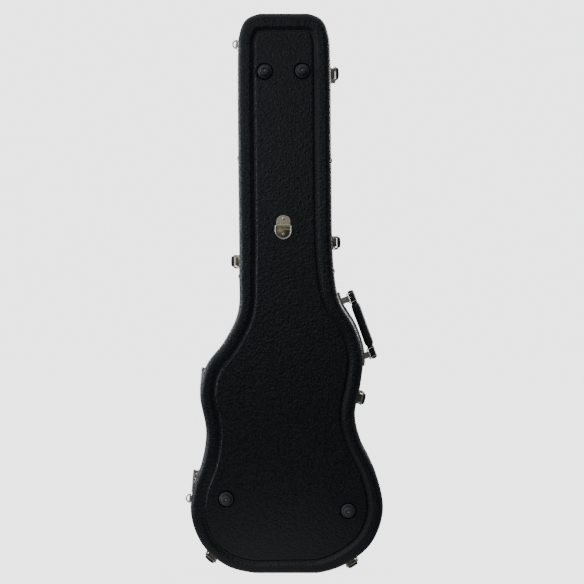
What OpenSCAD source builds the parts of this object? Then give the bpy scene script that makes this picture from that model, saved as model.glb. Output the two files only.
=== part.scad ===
// Hard-shell case for an offset-body electric guitar, standing on its bottom end.
// +Z runs up to the head end, +Y out of the lid, -Y out of the back, +X to the handle side.
// Millimetres. The origin is on the floor, under the middle of the back shell's bottom face.

/* [Shells] */
// Depth of the back shell, from its back face to the parting plane
back_depth = 68; // [66:1:74]
// Depth of the lid, from the parting plane to its front face
lid_depth = 42; // [40:1:46]
// Height of the parting plane along Y
part_y = 20; // [18:1:22]
// Thickness of the moulded shell wall
wall = 4; // [3.5:0.5:4.5]
// Radius of the rounded outer edge
edge_r = 12; // [10:1:14]
// Thickness of a shell's front or back face
face_t = 5.2; // [5:0.1:6]
// Width of the moulded channel round each face
groove_w = 9; // [8:0.5:10]
// Depth of the moulded channel
groove_d = 3.2; // [2.4:0.2:3.4]
// Height of each aluminium rim
rim_h = 4; // [3:0.5:5]

/* [Feet] */
// Diameter of a foot's base flange
foot_d = 26; // [24:1:28]
// Diameter of a foot's dome
foot_dome_d = 18; // [16:1:20]
// Height of a foot above the back face
foot_h = 14; // [12:1:16]
// Depth of the round dish that a foot sits in
foot_seat = 1.8; // [1.4:0.1:2]

/* [Latches] */
// Width of a latch base along the wall
latch_w = 25.4; // [25:0.2:26.4]
// Height of the lever's pivot above the wall
pivot_n = 8; // [7.8:0.1:8.4]
// Radius of the latch's wire loop
loop_r = 1.1; // [1:0.05:1.15]
// Length of the black grip on a lever
lever_grip_l = 20; // [18:1:21]

/* [Hinges] */
// Length of a hinge along its pin
hinge_l = 44; // [40:1:46]
// Radius of a hinge barrel
barrel_r = 2.5; // [2.4:0.1:2.6]
// Distance from the pin out to the wall's two outermost points
hinge_off = 3.1; // [3:0.1:3.4]

/* [Handle] */
// Distance from the handle's pivot line to the middle of the grip
handle_reach = 34; // [32:1:36]
// Angle from straight out to where the handle rests, towards the lid
handle_rest = 72; // [70:1:74]
// Radius of the grip
grip_r = 8.6; // [8:0.1:8.8]
// Radius of the handle's wire rings
ring_r = 1.1; // [1:0.05:1.2]

/* [Strap rings] */
// Inside width of the back strap ring
strap_ring_w = 27; // [26:1:28]
// Radius of the strap rings' wire
strap_wire_r = 1.6; // [1.4:0.1:1.7]

/* [Lining] */
// Thickness of the padded lining at the sides
pad_t = 20; // [18:1:22]
// Thickness of the lid's padded lining
lid_pad_t = 8; // [6:1:9]

/* [Hidden] */
$fn = 48;

case_l = 1051;
back_y = part_y - back_depth;
lid_y = part_y + lid_depth;
rim_gap = 0.3;
clear = 0.1;
steps = 4;

// Outline key points, anticlockwise seen from the back: x, z and the channel's inset
KEYS = [
    [0, 0, 23], [58, 0, 24], [112, 17, 27], [160, 56, 28], [182, 118, 27], [168, 190, 26],
    [139, 253, 26], [129.5, 298, 26], [140, 355, 26], [144.5, 410, 26], [129, 463, 26],
    [101, 511, 28], [90, 568, 29], [85, 780, 30], [83, 970, 29.5], [80, 1008, 28], [68, 1038, 24],
    [41, 1051, 29], [-49, 1051, 29], [-77, 1038, 24], [-89, 1008, 28], [-91, 970, 29.5],
    [-90.5, 780, 30],
    [-88.5, 568, 29], [-91, 490, 27], [-117, 435, 26], [-151, 389, 26], [-162, 338, 26],
    [-150.5, 266, 26], [-158, 211, 26], [-174.5, 162, 25], [-178.5, 108, 24],
    [-157, 53, 22], [-112, 14, 22], [-58, 0, 22]
];

// Centripetal spline through the key points
function knot(a, b) = sqrt(norm([b.x - a.x, b.y - a.y]));
function mix(a, b, t, t0, t1) = (a * (t1 - t) + b * (t - t0)) / (t1 - t0);
function key(i) = KEYS[(i + len(KEYS)) % len(KEYS)];
function span(p0, p1, p2, p3, f) =
    let (t1 = knot(p0, p1))
    let (t2 = t1 + knot(p1, p2))
    let (t3 = t2 + knot(p2, p3))
    let (t = t1 + f * (t2 - t1))
    let (a1 = mix(p0, p1, t, 0, t1), a2 = mix(p1, p2, t, t1, t2), a3 = mix(p2, p3, t, t2, t3))
    mix(mix(a1, a2, t, 0, t2), mix(a2, a3, t, t1, t3), t, t1, t2);
function at(s) =
    let (i = floor(s))
    let (p = span(key(i - 1), key(i), key(i + 1), key(i + 2), s - i))
    [p.x, min(case_l, max(0, p.y)), p.z];
function outward(s) =
    let (d = at(s + 0.02) - at(s - 0.02))
    [d.y, -d.x] / norm([d.x, d.y]);
STATIONS = [for (i = [0:len(KEYS) - 1], f = [0:steps - 1]) i + f / steps];
function inset_point(s, d) = let (p = at(s), n = outward(s)) [p.x - d * n.x, p.y - d * n.y];

// The station at height z between two stations, where z rises from low to high
function seek(low, high, z, n = 20) =
    let (mid = (low + high) / 2)
    n == 0 ? mid : at(mid).y < z ? seek(mid, high, z, n - 1) : seek(low, mid, z, n - 1);
function right_side(z) = seek(1, 16, z);
function left_side(z) = seek(len(KEYS) - 1, 19, z);

// The case outline moved inward by d, and the channel's line moved inward by d
module outline(d) polygon([for (s = STATIONS) inset_point(s, d)]);
module channel_line(d) polygon([for (s = STATIONS) inset_point(s, at(s).z + d)]);

// An XZ drawing made solid from y0 to y1
module slab(y0, y1)
    translate([0, max(y0, y1), 0]) rotate([90, 0, 0]) linear_extrude(abs(y1 - y0)) children();

// The space between two insets of the outline, from y0 to y1
module rim_band(y0, y1, outer, inner)
    slab(y0, y1) difference() { outline(outer); outline(inner); }

// A local frame on the wall: x along the wall, y towards the lid, z outward
module on_wall(s) {
    p = at(s);
    n = outward(s);
    multmatrix([
        [n.y, 0, n.x, p.x],
        [0, 1, 0, part_y],
        [-n.x, 0, n.y, p.y],
        [0, 0, 0, 1]
    ]) children();
}

// A plate of thickness t that hugs the wall between two distances along it
module wall_plate(s, half, y0, y1, t) {
    p = at(s);
    n = outward(s);
    slab(part_y + y0, part_y + y1) intersection() {
        difference() { outline(-t); outline(-clear); }
        translate([p.x, p.y]) rotate(atan2(n.y, n.x)) square([30, 2 * half], center = true);
    }
}

// Shells

EDGE_STEPS = 4;
function edge_depth(i) = edge_r * (1 - cos(90 * i / EDGE_STEPS));
function edge_inset(i) = edge_r * (1 - sin(90 * (i + 0.5) / EDGE_STEPS));

// A moulded shell: face is its outer face's y, dir points from there to the parting plane
module shell(face, dir, depth) {
    difference() {
        union() {
            for (i = [0:EDGE_STEPS - 1])
                slab(face + dir * edge_depth(i), face + dir * (edge_r + 0.5)) outline(edge_inset(i));
            slab(face + dir * edge_r, face + dir * (depth - rim_h)) outline(0);
        }
        slab(face + dir * face_t, face + dir * (edge_r + 1)) outline(wall + edge_inset(1));
        slab(face + dir * edge_r, face + dir * depth) outline(wall);
        slab(face - dir, face + dir * groove_d) channel_band(groove_w / 2);
    }
}
module channel_band(half) difference() { channel_line(-half); channel_line(half); }

module back_shell() color([0.05, 0.055, 0.065]) difference() {
    shell(back_y, 1, back_depth);
    for (f = FEET)
        translate([f.x, back_y + foot_seat, f.y]) rotate([90, 0, 0])
            cylinder(r1 = foot_d / 2 + 0.6, r2 = foot_d / 2 + 3.2, h = foot_seat + 0.01);
}
module lid_shell() color([0.05, 0.055, 0.065]) shell(lid_y, -1, lid_depth);

// Rims: an aluminium edge on each shell, with a low tongue on one and its slot in the other

tongue_h = 1.4;
module back_rim() color([0.75, 0.76, 0.78]) {
    rim_band(part_y - rim_h, part_y - rim_gap, 0, 6);
    rim_band(part_y - 12, part_y - rim_h, wall, wall + 1.4);
    rim_band(part_y - rim_gap, part_y + tongue_h, 2.2, 3.8);
}
module lid_rim() color([0.75, 0.76, 0.78]) difference() {
    union() {
        rim_band(part_y + rim_gap, part_y + rim_h, 0, 6);
        rim_band(part_y + rim_h, part_y + 12, wall, wall + 1.4);
    }
    rim_band(part_y, part_y + tongue_h + 0.6, 1.4, 4.8);
}

// Lining and the pieces inside

in_gap = wall + 1.8;
floor_y = back_y + face_t + 0.3;
low_y = back_y + edge_r + 0.5;
in_low = wall + edge_inset(1) + 0.6;
lid_pad_y = lid_y - face_t - 0.3;
pad_top = part_y - 6;
pocket_floor = back_y + 20;
box_z0 = 606;
box_z1 = 764;
cradle_z1 = 794;

module span_z(z0, z1) translate([-250, z0]) square([500, z1 - z0]);

// The padding's outer shape between two heights, and its floor with the narrower foot
module lining_part(z0, z1, d = in_gap) intersection() {
    outline(d);
    span_z(z0, z1);
}
module lining_floor(z0, z1, top) {
    slab(floor_y, low_y + 2) lining_part(z0, z1, in_low);
    slab(low_y, top) lining_part(z0, z1);
}
module body_lining() color([0.03, 0.03, 0.035]) {
    lining_floor(0, box_z0 - 0.5, pocket_floor + 1);
    slab(pocket_floor, pad_top) difference() {
        lining_part(0, box_z0 - 0.5);
        intersection() { outline(in_gap + pad_t); span_z(0, 500); }
        translate([-36, 470]) square([68, 140]);
    }
}
module head_lining() color([0.03, 0.03, 0.035]) {
    lining_floor(cradle_z1 + 0.5, case_l, pocket_floor + 6);
    slab(pocket_floor + 5, pad_top) difference() {
        lining_part(cradle_z1 + 0.5, case_l);
        intersection() { outline(in_gap + pad_t - 4); span_z(cradle_z1 + 14, case_l); }
        translate([-31, cradle_z1]) square([62, 20]);
    }
}
module neck_cradle() color([0.04, 0.04, 0.045]) difference() {
    lining_floor(box_z1 + 0.5, cradle_z1, pad_top);
    translate([0, pad_top + 6, box_z1 - 5]) cylinder(r = 30, h = 50);
}
module lid_lining() color([0.03, 0.03, 0.035])
    slab(lid_pad_y - lid_pad_t, lid_pad_y) outline(wall + 6);

lid_hinge_z = box_z1 - 5;
flap_y = part_y - 18;
module compartment_box() color([0.05, 0.05, 0.055]) difference() {
    lining_floor(box_z0, box_z1, flap_y - 2.7);
    slab(floor_y + 4, flap_y) translate([-75, box_z0 + 5]) square([144, box_z1 - box_z0 - 10]);
}
module compartment_lid() color([0.05, 0.05, 0.055]) {
    translate([-74, flap_y - 2, box_z0 + 1]) cube([142, 3.4, lid_hinge_z - box_z0 - 4]);
    for (x = [-60, 34])
        difference() {
            union() {
                translate([x, flap_y, lid_hinge_z]) rotate([0, 90, 0]) cylinder(r = 2.2, h = 20);
                translate([x, flap_y - 1, lid_hinge_z - 5]) cube([20, 2, 5]);
            }
            translate([x - 1, flap_y, lid_hinge_z]) rotate([0, 90, 0]) cylinder(r = 1.25, h = 22);
        }
}
// the pin, and the three staples that hold it to the box
module compartment_hinge_pin() color([0.7, 0.7, 0.7]) {
    translate([-72, flap_y, lid_hinge_z]) rotate([0, 90, 0]) cylinder(r = 1.2, h = 138);
    for (x = [-66, -6, 60])
        translate([x, flap_y - 2.65, lid_hinge_z - 1.2]) cube([4, 2.65, 2.4]);
}
module compartment_tab() color([0.1, 0.1, 0.11])
    translate([-9, flap_y + 1.5, box_z0 + 4]) cube([18, 1.2, 26]);

// Feet: a flange, a tapered body and a small flat tip; x and z of each
FEET = [[-40, 940], [30, 941], [-112, 141], [116, 119]];
module foot(i) color([0.04, 0.04, 0.045])
    translate([FEET[i].x, back_y, FEET[i].y]) rotate([90, 0, 0]) difference() {
        rotate_extrude() polygon(concat(
            [[0, -foot_seat], [foot_d / 2, -foot_seat], [foot_d / 2, 0.4]],
            [[foot_d / 2 - 0.8, 1.4]],
            [for (q = [[2.6, 0.17], [1.6, 0.43], [0.6, 0.71], [-0.2, 0.86], [-1.4, 0.95], [-2.6, 0.982]])
                [foot_dome_d / 2 + q.x, foot_h * q.y]],
            [[foot_dome_d / 4, foot_h], [0, foot_h]]
        ));
        translate([0, 0, foot_h - 4]) cylinder(r = 2.6, h = 6);
        translate([0, 0, -foot_seat - 1]) cylinder(r = 2.1, h = foot_h);
    }
module foot_screws() color([0.6, 0.6, 0.62])
    for (f = FEET)
        translate([f.x, back_y, f.y]) rotate([90, 0, 0]) {
            translate([0, 0, foot_h - 4]) cylinder(r = 2.5, h = 2);
            translate([0, 0, 0.2 - foot_seat]) cylinder(r = 2, h = foot_h - 4 + foot_seat);
        }

// Hinges: one straight pin line outside both bouts of the left side

TANGENT_HI = [-162.3, 336];
TANGENT_LO = [-179.6, 121];
hinge_dir = (TANGENT_HI - TANGENT_LO) / norm(TANGENT_HI - TANGENT_LO);
hinge_tilt = atan2(hinge_dir.x, hinge_dir.y);
HINGE_S = [left_side(360), left_side(162)];
module on_hinge(i) {
    c = at(HINGE_S[i]);
    along = (c.y - TANGENT_LO.y) / hinge_dir.y;
    p = TANGENT_LO + along * hinge_dir + hinge_off * [-hinge_dir.y, hinge_dir.x];
    translate([p.x, part_y, p.y]) rotate([0, hinge_tilt, 0]) children();
}
knuckle = hinge_l / 5;

// Knuckle 0 to 4 with its web to the wall; side is -1 for the back shell, 1 for the lid
module knuckles(i, list, side) intersection() {
    on_hinge(i) difference() {
        for (k = list) translate([0, 0, (k - 2.5) * knuckle + 0.2]) {
            cylinder(r = barrel_r, h = knuckle - 0.4);
            translate([0, side > 0 ? 1 : -barrel_r, 0]) cube([14, barrel_r - 1, knuckle - 0.4]);
            translate([1.2, side > 0 ? 1 : -5, 0]) cube([14, 4, knuckle - 0.4]);
        }
        translate([0, 0, -hinge_l]) cylinder(r = 1.25, h = 2 * hinge_l);
    }
    slab(part_y - 20, part_y + 20) difference() { outline(-30); outline(-clear); }
}
module hinge_leaf(i, list, side) color([0.72, 0.7, 0.64]) {
    wall_plate(HINGE_S[i], hinge_l / 2, side * 4, side * 18, 1.6);
    knuckles(i, list, side);
}
module hinge_back_leaf(i) hinge_leaf(i, [0, 2, 4], -1);
module hinge_lid_leaf(i) hinge_leaf(i, [1, 3], 1);
module hinge_pin(i) color([0.6, 0.6, 0.6]) on_hinge(i)
    translate([0, 0, -hinge_l / 2 - 0.6]) cylinder(r = 1.2, h = hinge_l + 1.2);

// Latches: where each stands on the outline, and how far its catch's lip stays below the wire
LATCHES = [
    [right_side(943), 0.3], [right_side(622), 0.3], [right_side(328), 0.3],
    [right_side(21.5), 0.3], [left_side(586), 1.5], [left_side(31), 1.5]
];
pivot_y = -13;
loop_n = 4.8;
loop_back = -20.5;
loop_front = 9;
arm_x = 6.8;
pivot_r = 1.4;

module bar_x(half, y, n, r) translate([-half, y, n]) rotate([0, 90, 0]) cylinder(r = r, h = 2 * half);

// Keeps only what stands outside the wall
module clear_of_wall() difference() {
    children();
    slab(part_y - 60, part_y + 60) outline(-clear);
}
module latch_base(i) {
    s = LATCHES[i].x;
    wall_plate(s, latch_w / 2, -36, -4.5, 1.3);
    clear_of_wall() on_wall(s) difference() {
        for (side = [-1, 1])
            translate([side * (latch_w / 2 - 0.7) - 0.7, -24, -2]) cube([1.4, 19, pivot_n + 4.2]);
        bar_x(20, pivot_y, pivot_n, pivot_r + 0.02);
    }
}
module latch_bases() color([0.72, 0.7, 0.64]) for (i = [0:5]) latch_base(i);
module latch_pivots() color([0.6, 0.6, 0.6])
    for (l = LATCHES, side = [-1, 1])
        on_wall(l.x) translate([side * 11 - 2.2, pivot_y, pivot_n])
            rotate([0, 90, 0]) cylinder(r = pivot_r, h = 4.4);
module latch_catch(i) {
    s = LATCHES[i].x;
    lip = loop_n - loop_r - LATCHES[i].y;
    wall_plate(s, 9, 4.5, 18, 1.3);
    clear_of_wall() on_wall(s) translate([-4.8, 5.4, -2]) cube([9.6, 2, lip + 2]);
}
module latch_catches() color([0.72, 0.7, 0.64]) for (i = [0:5]) latch_catch(i);
module latch_lever(i) color([0.72, 0.7, 0.64]) on_wall(LATCHES[i].x) difference() {
    union() {
        for (side = [-1, 1]) translate([side * 9.9 - 0.6, 0, 0]) {
            translate([0, -34, 5.5]) cube([1.2, 23.6, 5.5]);
            translate([0, -24, 3]) cube([1.2, 7, 4]);
        }
        translate([-10.5, -36, 9.8]) cube([21, 12, 1.2]);
        translate([-13, -41, 9.8]) cube([26, 14, 1.2]);
    }
    bar_x(20, pivot_y, pivot_n, pivot_r + 0.05);
    bar_x(20, loop_back, loop_n, loop_r + 0.05);
}
module latch_grip(i) color([0.03, 0.03, 0.03]) on_wall(LATCHES[i].x)
    translate([0, -42, 11.1]) rotate([-90, 0, 0]) linear_extrude(lever_grip_l) polygon(concat(
        [for (a = [0:15:180]) [9.5 * cos(a), -1.6 - 3.2 * sin(a)]],
        [[-9.5, 0], [9.5, 0]]
    ));
module latch_loop(i) color([0.72, 0.7, 0.64]) on_wall(LATCHES[i].x) {
    bar_x(10.5, loop_back, loop_n, loop_r);
    bar_x(arm_x, loop_front, loop_n, loop_r);
    for (side = [-1, 1]) {
        translate([side * arm_x, loop_back, loop_n]) rotate([-90, 0, 0])
            cylinder(r = loop_r * 0.96, h = loop_front - loop_back);
        translate([side * arm_x, loop_front, loop_n]) sphere(r = loop_r);
    }
}

// Handle: a grip on two wire rings that turn in the ears of one long plate

handle_tilt = 20;
HANDLE_MID = [137.6, 461.5];
handle_y = part_y - 24;
ear_z = 56.5;
grip_half = 70;
plate_t = 5;
ring_half = 8.5;
module on_handle() translate([HANDLE_MID.x, handle_y, HANDLE_MID.y]) rotate([0, -handle_tilt, 0]) children();

module handle_plate() color([0.72, 0.7, 0.64]) {
    slab(handle_y - 10, handle_y + 10) intersection() {
        difference() { outline(-plate_t); outline(-clear); }
        translate(HANDLE_MID) rotate(handle_tilt) translate([-18, 1]) square([60, 148], center = true);
    }
    clear_of_wall() on_handle() for (side = [-1, 1]) difference() {
        union() {
            translate([-30, -2.4, side * ear_z - 6]) cube([30, 4.8, 12]);
            translate([0, 0, side * ear_z - 6]) cylinder(r = 2.9, h = 12);
        }
        translate([0, 0, side * ear_z - 10]) cylinder(r = ring_r + 0.05, h = 20);
    }
}
// One rectangular wire ring, its pivot bar on the handle's axis
module wire_ring(side, r) on_handle() rotate([0, 0, handle_rest]) translate([0, 0, side * ear_z]) {
    translate([0, 0, -ring_half]) cylinder(r = r, h = 2 * ring_half);
    for (z = [-ring_half, ring_half]) {
        translate([0, 0, z]) sphere(r = r);
        translate([0, 0, z]) rotate([0, 90, 0]) cylinder(r = r, h = handle_reach - 3);
    }
}
module handle_ring(side) color([0.72, 0.7, 0.64]) wire_ring(side, ring_r);
module handle_grip() color([0.03, 0.03, 0.03]) difference() {
    on_handle() rotate([0, 0, handle_rest]) translate([handle_reach, 0, -grip_half]) rotate_extrude() polygon([
        [0, 0], [5, 0], [6.3, 1.4], [6.3, 27], [grip_r, 31], [grip_r, 2 * grip_half - 31],
        [6.3, 2 * grip_half - 27], [6.3, 2 * grip_half - 1.4], [5, 2 * grip_half], [0, 2 * grip_half]
    ]);
    for (side = [-1, 1]) wire_ring(side, ring_r + 0.05);
}

// Strap rings: a D of wire whose straight side turns in a knuckle

// D ring in the XZ plane, bar along x at the origin, hanging to -z
module d_ring(half, drop, r) {
    rotate([0, 90, 0]) translate([0, 0, -half]) cylinder(r = r, h = 2 * half);
    for (side = [-1, 1]) {
        translate([side * half, 0, 0]) sphere(r = r);
        translate([side * half, 0, half - drop]) cylinder(r = r, h = drop - half);
    }
    translate([0, 0, half - drop]) rotate([90, 0, 0]) rotate([0, 0, 180])
        rotate_extrude(angle = 180) translate([half, 0]) circle(r = r);
}
STRAP = [-5, 652];
strap_y = back_y - 1.2 - 3.2;
strap_half = strap_ring_w / 2 + strap_wire_r;
module strap_bracket() color([0.72, 0.7, 0.6]) {
    slab(back_y - 1.2, back_y - clear) union() {
        translate([STRAP.x, STRAP.y + 9]) circle(r = 13);
        translate([STRAP.x - 13, STRAP.y - 12]) square([26, 21]);
        translate([STRAP.x, STRAP.y - 12]) circle(r = 13);
    }
    translate([STRAP.x - 12, strap_y, STRAP.y]) rotate([0, 90, 0]) difference() {
        union() {
            cylinder(r = 2.9, h = 24);
            translate([-2.9, 0, 0]) cube([2, 3.4, 24]);
            translate([0.9, 0, 0]) cube([2, 3.4, 24]);
        }
        translate([0, 0, -1]) cylinder(r = strap_wire_r + 0.05, h = 26);
    }
}
module strap_ring() color([0.78, 0.77, 0.72])
    translate([STRAP.x, strap_y, STRAP.y]) d_ring(strap_half, 25, strap_wire_r);

SIDE_S = [left_side(1000), left_side(134)];
side_y = -27;
side_off = 4;
side_wire_r = 1.4;
side_half = 7.5;
module side_bracket(k) color([0.72, 0.7, 0.64]) {
    wall_plate(k == 0 ? left_side(986) : SIDE_S[k], k == 0 ? 28 : 12, side_y - 7, side_y + 7, 1.3);
    clear_of_wall() on_wall(SIDE_S[k]) difference() {
        union() {
            bar_x(5.5, side_y, side_off, side_wire_r + 1.1);
            translate([-5.5, side_y - 2.5, -3]) cube([11, 5, side_off + 2]);
        }
        bar_x(9, side_y, side_off, side_wire_r + 0.05);
    }
}
module side_ring(k) color([0.78, 0.77, 0.72]) on_wall(SIDE_S[k])
    translate([0, side_y, side_off]) rotate([0, 180, 0]) d_ring(side_half, side_half + 0.2, side_wire_r);

// Domed plugs on the side walls, over the screws of the inner box and cradle
PLUG_S = [right_side(568), right_side(778), left_side(782), left_side(558)];
module dome(r, h) rotate_extrude() polygon(concat([[0, -1.2], [r, -1.2]],
    [for (a = [0:18:72]) [r * cos(a), h * sin(a) / sin(72)]], [[0, h]]));
module side_plugs() color([0.03, 0.03, 0.035])
    clear_of_wall() for (s = PLUG_S) on_wall(s) translate([0, -34, 0.2]) dome(5, 2.4);

// Rivets: domed heads that end on the outer face of a plate of thickness t
module on_plate(t) difference() {
    children();
    slab(part_y - 60, part_y + 60) outline(-t - 0.02);
}
module rivet(r = 2.2) translate([0, 0, 0.2]) dome(r, 1);
module case_rivets() color([0.7, 0.68, 0.62]) {
    on_plate(1.3) {
        for (l = LATCHES, x = [-5.5, 5.5]) on_wall(l.x) translate([x, -31, 1.3]) rivet();
        for (s = SIDE_S, x = [-9.7, 9.7]) on_wall(s) translate([x, side_y, 0.9]) rivet(1.8);
    }
    on_plate(1.6)
        for (s = HINGE_S, x = [-15, 0, 15]) on_wall(s) translate([x, -12, 1.6 - abs(x) * 0.045]) rivet();
    on_plate(plate_t)
        for (z = [396, 430, 493, 524]) on_wall(right_side(z)) translate([0, handle_y - part_y, plate_t - 0.2]) rivet(2.6);
    for (z = [13, -16])
        translate([STRAP.x, back_y - 1.2, STRAP.y + z]) rotate([90, 0, 0]) translate([0, 0, 1.2]) dome(2.2, 1);
}
module lid_rivets() color([0.7, 0.68, 0.62]) {
    on_plate(1.3)
        for (l = LATCHES, x = [-5.5, 5.5]) on_wall(l.x) translate([x, 13.5, 1.3]) rivet();
    on_plate(1.6)
        for (s = HINGE_S, x = [-15, 0, 15]) on_wall(s) translate([x, 12, 1.6 - abs(x) * 0.045]) rivet();
}

back_shell();
lid_shell();
back_rim();
lid_rim();
body_lining();
head_lining();
neck_cradle();
lid_lining();
compartment_box();
compartment_lid();
compartment_hinge_pin();
compartment_tab();
foot(0);  // foot_head_left
foot(1);  // foot_head_right
foot(2);  // foot_body_left
foot(3);  // foot_body_right
foot_screws();
hinge_back_leaf(0);  // hinge_back_leaf_upper
hinge_back_leaf(1);  // hinge_back_leaf_lower
hinge_lid_leaf(0);  // hinge_lid_leaf_upper
hinge_lid_leaf(1);  // hinge_lid_leaf_lower
hinge_pin(0);  // hinge_pin_upper
hinge_pin(1);  // hinge_pin_lower
latch_bases();
latch_catches();
latch_pivots();
latch_lever(0);  // latch_lever_1
latch_lever(1);  // latch_lever_2
latch_lever(2);  // latch_lever_3
latch_lever(3);  // latch_lever_4
latch_lever(4);  // latch_lever_5
latch_lever(5);  // latch_lever_6
latch_grip(0);  // latch_grip_1
latch_grip(1);  // latch_grip_2
latch_grip(2);  // latch_grip_3
latch_grip(3);  // latch_grip_4
latch_grip(4);  // latch_grip_5
latch_grip(5);  // latch_grip_6
latch_loop(0);  // latch_loop_1
latch_loop(1);  // latch_loop_2
latch_loop(2);  // latch_loop_3
latch_loop(3);  // latch_loop_4
latch_loop(4);  // latch_loop_5
latch_loop(5);  // latch_loop_6
handle_plate();
handle_grip();
handle_ring(1);  // handle_ring_upper
handle_ring(-1);  // handle_ring_lower
strap_bracket();
strap_ring();
side_bracket(0);  // side_bracket_head
side_ring(0);  // side_ring_head
side_bracket(1);  // side_bracket_body
side_ring(1);  // side_ring_body
side_plugs();
case_rivets();
lid_rivets();
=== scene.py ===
import math
import bpy
import bmesh
import numpy as np
from mathutils import Matrix, Vector, noise
from mathutils.bvhtree import BVHTree


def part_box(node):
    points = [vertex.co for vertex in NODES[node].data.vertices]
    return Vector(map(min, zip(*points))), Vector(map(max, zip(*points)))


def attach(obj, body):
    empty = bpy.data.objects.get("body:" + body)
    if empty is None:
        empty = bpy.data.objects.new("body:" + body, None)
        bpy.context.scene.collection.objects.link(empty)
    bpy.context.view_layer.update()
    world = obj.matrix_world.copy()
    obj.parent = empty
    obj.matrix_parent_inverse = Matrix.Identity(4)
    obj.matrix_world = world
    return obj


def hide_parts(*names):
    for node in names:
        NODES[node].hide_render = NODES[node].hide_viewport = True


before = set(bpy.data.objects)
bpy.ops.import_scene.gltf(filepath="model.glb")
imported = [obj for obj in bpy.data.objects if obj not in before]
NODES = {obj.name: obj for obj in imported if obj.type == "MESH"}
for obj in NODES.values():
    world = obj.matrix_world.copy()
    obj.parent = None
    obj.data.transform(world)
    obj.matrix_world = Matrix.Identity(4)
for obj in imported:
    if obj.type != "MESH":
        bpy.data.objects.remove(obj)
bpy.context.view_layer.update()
MM = 0.001

# ---------------------------------------------------------------- outline
# The case outline's key points, as in part.scad: x, z and the channel's inset, in mm. Across
# the top the inset is deeper than in part.scad.
KEYS = [
    (0, 0, 23), (58, 0, 24), (112, 17, 27), (160, 56, 28), (182, 118, 27), (168, 190, 26),
    (139, 253, 26), (129.5, 298, 26), (140, 355, 26), (144.5, 410, 26), (129, 463, 26),
    (101, 511, 28), (90, 568, 29), (85, 780, 30), (83, 970, 29.5), (80, 1008, 29), (68, 1038, 32),
    (41, 1051, 33), (-49, 1051, 33), (-77, 1038, 32), (-89, 1008, 29), (-91, 970, 29.5),
    (-90.5, 780, 30),
    (-88.5, 568, 29), (-91, 490, 27), (-117, 435, 26), (-151, 389, 26), (-162, 338, 26),
    (-150.5, 266, 26), (-158, 211, 26), (-174.5, 162, 25), (-178.5, 108, 24),
    (-157, 53, 22), (-112, 14, 22), (-58, 0, 22),
]
BACK_Y, PART_Y, LID_Y, CASE_L = -48.0, 20.0, 62.0, 1051.0
DEEPEST_INSET = 33.0


def at(s):
    """The point x, z and the channel's inset at station s, on the centripetal spline."""
    i, n = int(math.floor(s)), len(KEYS)
    p = [np.array(KEYS[(i + k) % n], float) for k in (-1, 0, 1, 2)]
    t = [0.0]
    for a, b in zip(p, p[1:]):
        t.append(t[-1] + math.sqrt(math.hypot(b[0] - a[0], b[1] - a[1])))
    u = t[1] + (s - i) * (t[2] - t[1])

    def mix(a, b, t0, t1):
        return (a * (t1 - u) + b * (u - t0)) / (t1 - t0)

    a1, a2, a3 = (mix(p[k], p[k + 1], t[k], t[k + 1]) for k in range(3))
    q = mix(mix(a1, a2, t[0], t[2]), mix(a2, a3, t[1], t[3]), t[1], t[2])
    q[1] = min(CASE_L, max(0.0, q[1]))
    q[2] = min(DEEPEST_INSET, q[2])
    return q


def outward(s):
    """The unit normal x, z of the outline at station s, away from the case."""
    d = at(s + 0.02) - at(s - 0.02)
    return np.array([d[1], -d[0]]) / math.hypot(d[0], d[1])


def side(z, right=True):
    """The station at height z on the right or the left side, found by halving."""
    low, high = (1, 16) if right else (len(KEYS) - 1, 19)
    for _ in range(24):
        mid = (low + high) / 2
        low, high = (mid, high) if at(mid)[1] < z else (low, mid)
    return mid


PER = 16  # stations between two key points
STATIONS = [i + f / PER for i in range(len(KEYS)) for f in range(PER)]
LINE = np.array([at(s) for s in STATIONS])
NORMAL = np.array([outward(s) for s in STATIONS])


def inset(d, channel=False):
    """The outline moved inward by d, or the channel's line moved inward by d."""
    d = d + (LINE[:, 2] if channel else 0)
    return LINE[:, :2] - NORMAL * np.reshape(d, (-1, 1))


def wall_frame(s):
    """A matrix whose x runs along the wall, y towards the lid and z outward, in metres."""
    p, n = at(s), outward(s)
    return Matrix(((n[1], 0, n[0], p[0] * MM), (0, 1, 0, PART_Y * MM),
                   (-n[0], 0, n[1], p[1] * MM), (0, 0, 0, 1)))


# ---------------------------------------------------------------- mesh helpers
def circle(r, n, x=0.0, y=0.0):
    """n points round a circle."""
    return [(x + r * math.cos(2 * math.pi * k / n), y + r * math.sin(2 * math.pi * k / n)) for k in range(n)]


def arc(degrees, rx, ry, y=0.0):
    """The points of an ellipse round (0, y) at the given angles."""
    return [(rx * math.cos(math.radians(a)), y + ry * math.sin(math.radians(a))) for a in degrees]


def make(name, bm, mat, body, nodes=(), smooth=35):
    """Turns a bmesh in metres into a piece that rides on a body and stands for CAD nodes."""
    bmesh.ops.recalc_face_normals(bm, faces=bm.faces)
    me = bpy.data.meshes.new(name)
    bm.to_mesh(me)
    bm.free()
    o = bpy.data.objects.new(name, me)
    bpy.context.scene.collection.objects.link(o)
    me.materials.append(mat)
    if smooth:
        soften(me, smooth)
    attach(o, body)
    if nodes:
        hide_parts(*nodes)
    return o


def soften(me, degrees):
    """Smooth shading, with edges over that angle kept sharp."""
    bm = bmesh.new()
    bm.from_mesh(me)
    for f in bm.faces:
        f.smooth = True
    for e in bm.edges:
        if len(e.link_faces) == 2:
            e.smooth = e.calc_face_angle(0) < math.radians(degrees)
    bm.to_mesh(me)
    bm.free()


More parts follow.
